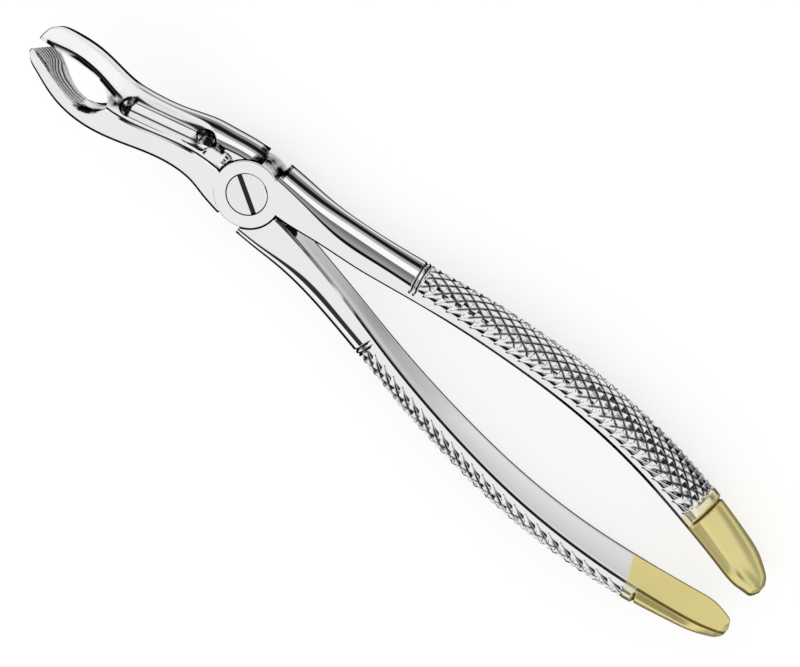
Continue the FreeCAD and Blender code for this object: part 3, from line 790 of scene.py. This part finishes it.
def ring_groove_painted_shade(x, y, z):
    """Shade painted in the bottoms of the two grooves of the ring in front of the grip."""
    along = -np.minimum(x, -HANDLE_ROOT)
    s = handle_place(along, np.abs(y))
    outer = np.abs(y) > HANDLE_CURVES[3](along) - 1.2
    return np.where((x < 8 - GRIP_START) & outer, ramp(ring_grooves(s), 0.35, 0.9), 0)


def serrated_area(x, y, z):
    """The serrated faces inside the mouth and the tips, ground rather than polished."""
    opened = mouth_opening(x, 0.5, z)
    inside = (x > SERRATED_FROM) & (np.abs(y) < opened + 0.25) & (opened > 0.2)
    return np.maximum(inside, ramp(x, TIP - 1.9, TIP - 1.3))


# ---------------------------------------------------------------- grips, plated ends and screw

GRIP_COUNTS = (12, 6, 8, 140)
END_COUNTS = (24, 6, 10, 96)


def grip_piece(name, side):
    """Knurled stretch of a handle, whose inner face and last edge take on the plating of the handle's end."""
    alongs = np.linspace(GRIP_START, GRIP_END, 520)
    y, z, stretch, s, relief, painted_chamfer_shade = handle_grid(alongs, GRIP_COUNTS, side)
    # Painted shade: dark in the deepest knurl cuts and on the front half's inner chamfer
    depth = np.maximum(0.95 * ramp(relief / KNURL_DEPTH, 0.58, 0.95), painted_chamfer_shade)
    piece = arm_piece(name, alongs, -1, side, y, z)
    boundary = GRIP_END - 2.3 + 0.2 * (z - GRIP_HEIGHT)
    plating = ramp(s, boundary - 0.35, boundary + 0.35) * (stretch == "inner")
    plating = np.maximum(plating, ramp(s, GRIP_END - 1.4, GRIP_END - 0.6) * 0.55)
    store(piece, "plating", plating)
    store(piece, "painted_shade", depth)
    return piece


def gold_piece(name, side):
    """Plated end of a handle, rounded off."""
    alongs = np.concatenate([
        np.arange(GRIP_END, GRIP_END + 2.0, 0.1), np.arange(GRIP_END + 2.0, HANDLE_END - 2.0, 0.25),
        HANDLE_END - 2.0 * np.cos(np.linspace(0, math.pi / 2, 22)),
    ])
    y, z, stretch, _, relief, _ = handle_grid(alongs, END_COUNTS, side)
    piece = arm_piece(name, alongs, -1, side, y, z)
    # Painted shade: a brown line along the inner bevel and the bottom of the ledge groove
    edge_shade = GOLD_EDGE_SHADE * (stretch == "front_bevel") + 0 * y
    groove_shade = ramp(relief, LEDGE_DEPTH, LEDGE_DEPTH + LEDGE_GROOVE_DEPTH)
    store(piece, "painted_shade", np.maximum(groove_shade, edge_shade))
    return piece


def slot_cutter():
    """Bar that cuts the screw's slot."""
    reach, half = 2 * SCREW_RADIUS, SLOT_WIDTH / 2
    outline = ((-reach, -half), (reach, -half), (reach, half), (-reach, half))
    corners = [(x, y, z) for z in (JOINT_TOP - SLOT_DEPTH, JOINT_TOP + 1) for x, y in outline]
    faces = [(3, 2, 1, 0), (4, 5, 6, 7), (0, 1, 5, 4), (1, 2, 6, 5), (2, 3, 7, 6), (3, 0, 4, 7)]
    return turn(new_piece("slot", corners, faces), math.radians(SLOT_ANGLE), "Z")


def screw_piece():
    """Slotted screw: bevelled head, shank and end."""
    shank, head_floor = SCREW_RADIUS / 2, JOINT_TOP - SCREW_HEAD_HEIGHT
    rim = SCREW_RADIUS - SCREW_BEVEL
    screw = lathe("pivot_screw", [
        (SCREW_END_RADIUS, 0), (SCREW_END_RADIUS, LAP), (shank, LAP), (shank, head_floor),
        (SCREW_RADIUS, head_floor), (SCREW_RADIUS, JOINT_TOP - SCREW_BEVEL), (rim, JOINT_TOP),
        (rim - 0.05, JOINT_TOP),
    ])
    combine(screw, slot_cutter(), "DIFFERENCE")
    # Paints shade on every face below the head's bevel, the slot's walls and floor among them
    paint(screw, "painted_shade", lambda x, y, z: z < JOINT_TOP - SCREW_BEVEL)
    return screw


# ---------------------------------------------------------------- materials

# Finishes: base colour from dark to light, range of roughness, strength of the polishing lines and colour of
# the shade painted into recesses and cuts. The edge tints colour the reflection at grazing angles.
BLACK_PAINTED_SHADE, BROWN_PAINTED_SHADE = (0.012, 0.012, 0.012), (0.09, 0.05, 0.01)
STEEL = {
    "dark": (0.92, 0.92, 0.925), "light": (0.97, 0.97, 0.975), "roughness": (0.015, 0.045),
    "lines": 0.01, "painted_shade": BLACK_PAINTED_SHADE,
}
KNURLED = {**STEEL, "roughness": (0.03, 0.06)}
# Turned steel of the screw, with grey shade painted in its slot and below its bevel
TURNED = {
    **STEEL, "dark": (0.88, 0.88, 0.885), "roughness": (0.05, 0.1), "lines": 0.03,
    "painted_shade": (0.27, 0.27, 0.27),
}
GOLD = {
    "dark": (0.76, 0.66, 0.27), "light": (0.82, 0.73, 0.34), "roughness": (0.18, 0.25), "lines": 0.02,
    "painted_shade": BROWN_PAINTED_SHADE,
}
FULL_METAL, GOLD_METAL, SATIN_METAL = (1, 1, 1), (0.66, 0.66, 0.66), (0.3, 0.3, 0.3)
EDGE_TINT, GOLD_EDGE = (0.05, 0.05, 0.05, 1), (0.7, 0.65, 0.4, 1)
SATIN_ROUGHNESS = (0.3, 0.3, 0.3)


def new_material(name):
    material = bpy.data.materials.new(name)
    material.use_nodes = True
    nodes = material.node_tree.nodes
    nodes.clear()
    output = nodes.new("ShaderNodeOutputMaterial")
    shader = nodes.new("ShaderNodeBsdfPrincipled")
    material.node_tree.links.new(shader.outputs[0], output.inputs[0])
    return material, shader


def link(material, source, target):
    material.node_tree.links.new(source, target)


def noise(material, scale, detail, stretch=(1, 1, 1)):
    """Noise texture in the object's own metres."""
    nodes = material.node_tree.nodes
    place = nodes.new("ShaderNodeTexCoord")
    mapping = nodes.new("ShaderNodeMapping")
    mapping.inputs["Scale"].default_value = stretch
    texture = nodes.new("ShaderNodeTexNoise")
    texture.inputs["Scale"].default_value = scale
    texture.inputs["Detail"].default_value = detail
    link(material, place.outputs["Object"], mapping.inputs[0])
    link(material, mapping.outputs[0], texture.inputs["Vector"])
    return texture.outputs["Fac"]


def spread(material, value, low, high):
    """Maps the middle of a noise's range to low and high."""
    node = material.node_tree.nodes.new("ShaderNodeMapRange")
    node.inputs["From Min"].default_value = 0.3
    node.inputs["From Max"].default_value = 0.7
    node.inputs["To Min"].default_value = low
    node.inputs["To Max"].default_value = high
    link(material, value, node.inputs["Value"])
    return node.outputs["Result"]


def bump(material, shader, height, strength, distance):
    node = material.node_tree.nodes.new("ShaderNodeBump")
    node.inputs["Strength"].default_value = strength
    node.inputs["Distance"].default_value = distance
    link(material, height, node.inputs["Height"])
    link(material, node.outputs[0], shader.inputs["Normal"])


def attribute(material, name):
    node = material.node_tree.nodes.new("ShaderNodeAttribute")
    node.attribute_name = name
    return node.outputs["Fac"]


def mixed(material, share, first, second):
    """Colour or value between two, each a constant or a node's output."""
    node = material.node_tree.nodes.new("ShaderNodeMix")
    node.data_type = "RGBA"
    link(material, share, node.inputs[0])
    for socket, value in ((node.inputs[6], first), (node.inputs[7], second)):
        if isinstance(value, tuple):
            socket.default_value = (*value, 1)
        else:
            link(material, value, socket)
    return node.outputs[2]


def metal(name, finish, plated=None, satin=None, metallic=1.0, edge=EDGE_TINT):
    """Polished metal with faint changes of tone and gloss, fine polishing lines, and shade painted into
    recesses.
    """
    material, shader = new_material(name)
    shader.inputs["Metallic"].default_value = metallic
    shader.inputs["Specular Tint"].default_value = edge
    tone, gloss = metal_tone(material, finish)
    if plated:
        plating = attribute(material, "plating")
        plated_tone, plated_gloss = metal_tone(material, plated)
        tone = mixed(material, plating, tone, plated_tone)
        gloss = mixed(material, plating, gloss, plated_gloss)
        link(material, mixed(material, plating, FULL_METAL, GOLD_METAL), shader.inputs["Metallic"])
        link(material, mixed(material, plating, edge[:3], GOLD_EDGE[:3]), shader.inputs["Specular Tint"])
    if satin:
        ground = attribute(material, "satin")
        gloss = mixed(material, ground, gloss, satin)
        link(material, mixed(material, ground, FULL_METAL, SATIN_METAL), shader.inputs["Metallic"])
        # Painted dark patches: the stored value, broken up by noise, darkens the tone towards black
        blotches = spread(material, noise(material, 700, 3), 0.3, 2.0)
        painted_patches = product(material, attribute(material, "painted_dark_patches"), blotches)
        tone = mixed(material, painted_patches, tone, BLACK_PAINTED_SHADE)
    # Painted shade: the stored value darkens the tone towards the finish's shade colour
    tone = mixed(material, attribute(material, "painted_shade"), tone, finish["painted_shade"])
    link(material, tone, shader.inputs["Base Color"])
    link(material, gloss, shader.inputs["Roughness"])
    bump(material, shader, noise(material, 2500, 2, stretch=(0.05, 1, 1)), finish["lines"], 0.00002)
    return material


def product(material, first, second):
    """Product of two outputs, kept between 0 and 1."""
    node = material.node_tree.nodes.new("ShaderNodeMath")
    node.operation = "MULTIPLY"
    node.use_clamp = True
    link(material, first, node.inputs[0])
    link(material, second, node.inputs[1])
    return node.outputs[0]


def metal_tone(material, finish):
    """Colour and roughness of a finish, each with faint changes."""
    tone = mixed(material, noise(material, 60, 3), finish["dark"], finish["light"])
    return tone, spread(material, noise(material, 140, 4), *finish["roughness"])


def materials():
    return {
        "polished_steel": metal("polished_steel", STEEL, satin=SATIN_ROUGHNESS),
        "knurled_steel": metal("knurled_steel", KNURLED, plated=GOLD),
        "gold_plate": metal("gold_plate", GOLD, metallic=GOLD_METAL[0], edge=GOLD_EDGE),
        "screw_steel": metal("screw_steel", TURNED),
    }


# ---------------------------------------------------------------- stage, light and camera

# Floor, in metres
FLOOR_REACH, FLOOR_GAP = 4.0, 0.0002
FLOOR_COLOUR, FLOOR_GLOW = (0.3, 0.3, 0.3, 1), 0.72


def make_floor():
    """Pale floor that catches soft shadows and stays out of the reflections."""
    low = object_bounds()[0]
    size = FLOOR_REACH
    corners = [(-size, -size), (size, -size), (size, size), (-size, size)]
    mesh = bpy.data.meshes.new("floor")
    mesh.from_pydata([(x, y, low.z - FLOOR_GAP) for x, y in corners], [], [(0, 1, 2, 3)])
    floor = bpy.data.objects.new("floor", mesh)
    bpy.context.scene.collection.objects.link(floor)
    material, shader = new_material("pale_floor")
    shader.inputs["Base Color"].default_value = FLOOR_COLOUR
    shader.inputs["Roughness"].default_value = 1.0
    shader.inputs["Emission Color"].default_value = (1, 1, 1, 1)
    shader.inputs["Emission Strength"].default_value = FLOOR_GLOW
    mesh.materials.append(material)
    floor.visible_glossy = False


# Axes of the view, its middle and the width it shows. The camera stands far off, for little perspective.
VIEW_BACK = Vector((-0.0357, -0.4067, 0.9127))
VIEW_RIGHT = Vector((-0.7603, -0.5817, -0.2889))
VIEW_UP = Vector((0.6485, -0.7043, -0.2885))
VIEW_TARGET = Vector((-40.15, 1.67, 7.18)) * MM
VIEW_WIDTH = 0.1556
VIEW_DISTANCE = 2.5


def make_camera():
    data = bpy.data.cameras.new("camera")
    data.sensor_width = 36.0
    data.lens = data.sensor_width * VIEW_DISTANCE / VIEW_WIDTH
    data.clip_start, data.clip_end = 0.1, 20
    camera = bpy.data.objects.new("camera", data)
    bpy.context.scene.collection.objects.link(camera)
    axes = Matrix((VIEW_RIGHT, VIEW_UP, VIEW_BACK)).transposed()
    camera.matrix_world = Matrix.Translation(VIEW_TARGET + VIEW_DISTANCE * VIEW_BACK) @ axes.to_4x4()
    bpy.context.scene.camera = camera


# Brightness of the studio by the angle in degrees round the tool's long axis, from straight up, positive
# towards -Y. The bands hold where a direction is nearly square to that axis, one list before BANDS_SPLIT and
# one after it. The sides hold further round, except towards the handles' end and the beaks' end.
BANDS_SPLIT = -3
BANDS_BEFORE = [
    (-180, 0.35), (-136, 0.35), (-130, 0.01), (-104, 0.01), (-99, 1.0), (-70, 1.0), (-64, 0.03), (-38, 0.03),
    (-33, 0.87), (-22, 0.87), (-20, 0.004), (-7, 0.004), (-5, 0.3), (0, 0.38),
]
BANDS_AFTER = [
    (-6, 0.02), (-5, 0.3), (0, 0.38), (26, 0.18), (33, 0.2), (37, 0.09), (39, 1.0), (72, 1.0), (76, 0.45),
    (84, 0.5), (92, 0.3), (96, 0.01), (118, 0.01), (126, 0.25), (136, 0.3), (142, 0.05), (150, 0.35),
    (165, 0.35), (168, 0.005), (180, 0.005),
]
SIDES = [
    (-180, 0.35), (-136, 0.35), (-130, 0.01), (-104, 0.01), (-97, 0.87), (140, 0.87), (160, 0.6), (168, 0.01),
    (180, 0.01),
]
HANDLES_END = [
    (-180, 0.35), (-136, 0.35), (-130, 0.01), (-75, 0.01), (-66, 0.87), (10, 0.87), (26, 0.03), (72, 0.03),
    (80, 0.8), (105, 0.8), (118, 0.3), (140, 0.12), (162, 0.3), (168, 0.01), (180, 0.01),
]
BEAKS_END = [
    (-180, 0.01), (-80, 0.01), (-70, 0.02), (-18, 0.02), (-10, 0.87), (140, 0.87), (165, 0.3), (180, 0.01),
]

# Shares of the bands and of the two ends by a direction's x
BANDS_REACH = [(-1, 0), (-0.24, 0), (-0.18, 1), (0.37, 1), (0.42, 0), (1, 0)]
HANDLES_END_REACH = [(-1, 0), (-0.84, 0), (-0.78, 1), (-0.52, 1), (-0.45, 0), (1, 0)]
BEAKS_END_REACH = [(-1, 0), (0.52, 0), (0.56, 1), (1, 1)]

# Patch low down: its brightness by x, a white strip in it by angle, and its reach by angle and by -z
LOW_PATCH = [
    (-1, 0.3), (-0.3, 0.3), (-0.22, 0.02), (-0.17, 0.4), (-0.14, 0.6), (-0.1, 0.75), (-0.07, 1.0),
    (0.32, 1.0), (0.36, 0.1), (0.42, 0.1), (0.48, 0.6), (1, 0.8),
]
LOW_STRIP = [(-180, 0), (158, 0), (162, 1), (168, 1), (170, 0), (180, 0)]
LOW_PATCH_TURN = [(-180, 0), (138, 0), (142, 1), (170, 1), (171, 0), (180, 0)]
LOW_PATCH_DROP = [(0, 0), (0.72, 0), (0.78, 1), (1, 1)]

# Dark round patch behind the tool, by the cosine of the angle from the middle of the view
BEHIND = [(0, 0), (math.cos(math.radians(36)), 0), (math.cos(math.radians(33)), 1), (1, 1)]
BEHIND_BRIGHTNESS = 0.01


def make_world():
    """Soft white studio, in which polished steel also sees dark strips parallel to the tool."""
    world = bpy.data.worlds.new("studio")
    bpy.context.scene.world = world
    world.use_nodes = True
    tree = world.node_tree
    tree.nodes.clear()

    def node(kind, **settings):
        made = tree.nodes.new(kind)
        for name, value in settings.items():
            setattr(made, name, value)
        return made

    def math_node(operation, first, second=None):
        made = node("ShaderNodeMath", operation=operation)
        for socket, value in zip(made.inputs, (first, second)):
            if isinstance(value, (int, float)):
                socket.default_value = value
            elif value is not None:
                tree.links.new(value, socket)
        return made.outputs[0]

    def studio_ramp(position, stops, low, high):
        made = node("ShaderNodeValToRGB")
        tree.links.new(position, made.inputs[0])
        made.color_ramp.interpolation = "LINEAR"
        elements = made.color_ramp.elements
        while len(elements) < len(stops):
            elements.new(0.5)
        for element, (place, value) in zip(elements, stops):
            element.position = (place - low) / (high - low)
            element.color = (value, value, value, 1)
        return made.outputs[0]

    def blend(share, first, second):
        made = node("ShaderNodeMix", data_type="RGBA")
        tree.links.new(share, made.inputs[0])
        for socket, value in ((made.inputs[6], first), (made.inputs[7], second)):
            if isinstance(value, (int, float)):
                socket.default_value = (value, value, value, 1)
            else:
                tree.links.new(value, socket)
        return made.outputs[2]

    place = node("ShaderNodeTexCoord")
    split = node("ShaderNodeSeparateXYZ")
    tree.links.new(place.outputs["Generated"], split.inputs[0])
    x, y, z = split.outputs
    angle = math_node("ARCTAN2", math_node("MULTIPLY", y, -1.0), z)
    turn_share = math_node("ADD", math_node("DIVIDE", angle, 2 * math.pi), 0.5)
    x_share = math_node("ADD", math_node("MULTIPLY", x, 0.5), 0.5)
    lists = (BANDS_BEFORE, BANDS_AFTER, SIDES, HANDLES_END, BEAKS_END)
    by_angle = [studio_ramp(turn_share, part, -180, 180) for part in lists]
    before, after, sides, handles_end, beaks_end = by_angle
    reaches = (BANDS_REACH, HANDLES_END_REACH, BEAKS_END_REACH)
    in_bands, at_handles, at_beaks = [studio_ramp(x_share, part, -1, 1) for part in reaches]
    bands = blend(math_node("GREATER_THAN", turn_share, (BANDS_SPLIT + 180) / 360), before, after)
    reflected = blend(in_bands, blend(at_handles, sides, handles_end), bands)
    reflected = blend(at_beaks, reflected, beaks_end)
    patch = studio_ramp(x_share, LOW_PATCH, -1, 1)
    patch = blend(studio_ramp(turn_share, LOW_STRIP, -180, 180), patch, 1.0)
    patch_turn = studio_ramp(turn_share, LOW_PATCH_TURN, -180, 180)
    patch_drop = studio_ramp(math_node("MULTIPLY", z, -1.0), LOW_PATCH_DROP, 0, 1)
    reflected = blend(math_node("MULTIPLY", patch_drop, patch_turn), reflected, patch)
    behind = node("ShaderNodeVectorMath", operation="DOT_PRODUCT")
    tree.links.new(place.outputs["Generated"], behind.inputs[0])
    behind.inputs[1].default_value = -VIEW_BACK
    contour = studio_ramp(behind.outputs["Value"], BEHIND, 0, 1)
    reflected = blend(contour, reflected, BEHIND_BRIGHTNESS)
    path = node("ShaderNodeLightPath")
    colour = blend(path.outputs["Is Glossy Ray"], 1.0, reflected)
    background = node("ShaderNodeBackground")
    tree.links.new(colour, background.inputs["Color"])
    output = node("ShaderNodeOutputWorld")
    tree.links.new(background.outputs[0], output.inputs[0])


# ---------------------------------------------------------------- assembly

SHARP_ANGLE = math.radians(32.0)


def dress(piece, body, slot, nodes, looks):
    """Gives a piece its material and smooth shading, ties it to its CAD body and hides the CAD nodes it
    stands in for.
    """
    piece.data.materials.clear()
    piece.data.materials.append(looks[slot])
    piece.data.shade_smooth()
    piece.data.set_sharp_from_angle(angle=SHARP_ANGLE)
    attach(piece, body)
    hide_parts(*nodes)


def build():
    looks = materials()
    dress(steel_half("front_half_steel", 1, True), FRONT, "polished_steel", ["front_half"], looks)
    dress(steel_half("back_half_steel", -1, False), BACK, "polished_steel", ["back_half"], looks)
    for body, name, side in ((FRONT, "front", -1), (BACK, "back", 1)):
        dress(grip_piece(name + "_grip_knurled", side), body, "knurled_steel", [name + "_grip"], looks)
        dress(gold_piece(name + "_end_plated", side), body, "gold_plate", [name + "_gold_end"], looks)
    dress(screw_piece(), BACK, "screw_steel", ["joint_screw"], looks)


build()
make_floor()
make_camera()
make_world()
bpy.context.scene.view_settings.view_transform = "Standard"
